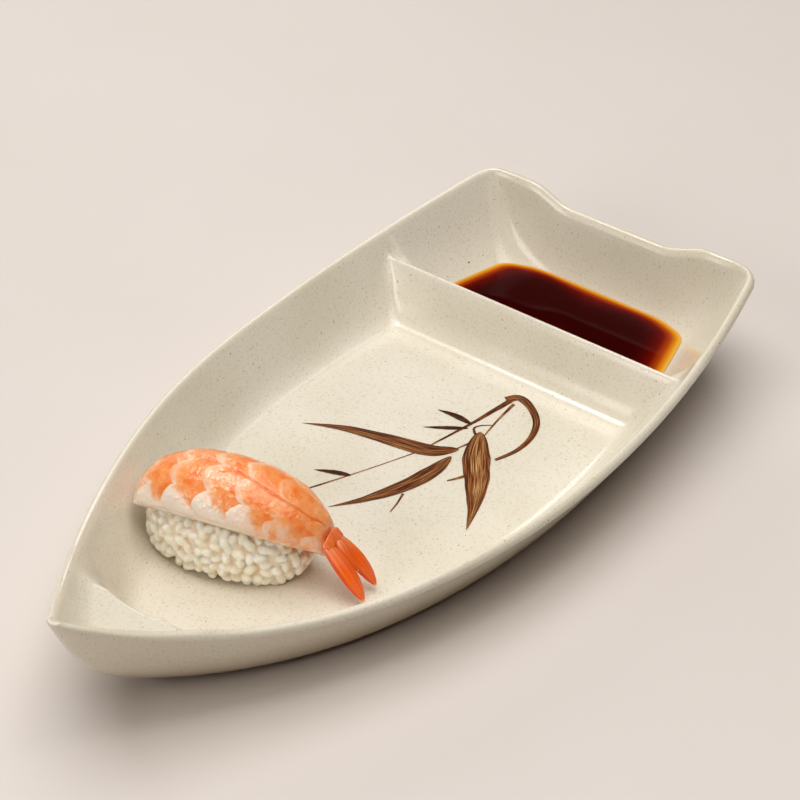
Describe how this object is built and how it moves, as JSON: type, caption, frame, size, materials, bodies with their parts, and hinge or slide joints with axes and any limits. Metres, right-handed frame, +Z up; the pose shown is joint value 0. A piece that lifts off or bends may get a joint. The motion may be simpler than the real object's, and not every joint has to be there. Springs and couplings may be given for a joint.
{
  "type": "sushi boat dish",
  "caption": "Boat-shaped glazed ceramic serving dish with a raised bow, a soy sauce well behind a divider at the stern, and a shrimp nigiri laid across its floor.",
  "frame": {"origin": "on the table under the middle of the dish, at the centre of its flat base's overall box", "axes": "+X along the keel toward the raised bow, +Y to port, +Z up"},
  "size_m": [0.2618, 0.13, 0.0428],
  "materials": {
    "glaze": "gloss",
    "soy": "gloss",
    "rice": "satin",
    "shrimp": "satin",
    "tail": "gloss"
  },
  "bodies": {
    "dish": {"dish": "glaze", "soy_sauce": "soy"},
    "rice": {"rice_block": "rice"},
    "shrimp": {"shrimp_flesh": "shrimp", "tail_shell": "tail", "tail_lobe_near": "tail", "tail_lobe_far": "tail"}
  },
  "joints": [
    {"name": "rice_lift", "type": "slide", "parent": "dish", "child": "rice", "axis": [0, 0, 1], "range_m": [0, 0.08]},
    {"name": "shrimp_lift", "type": "slide", "parent": "rice", "child": "shrimp", "axis": [0, 0, 1], "range_m": [0, 0.05]}
  ]
}
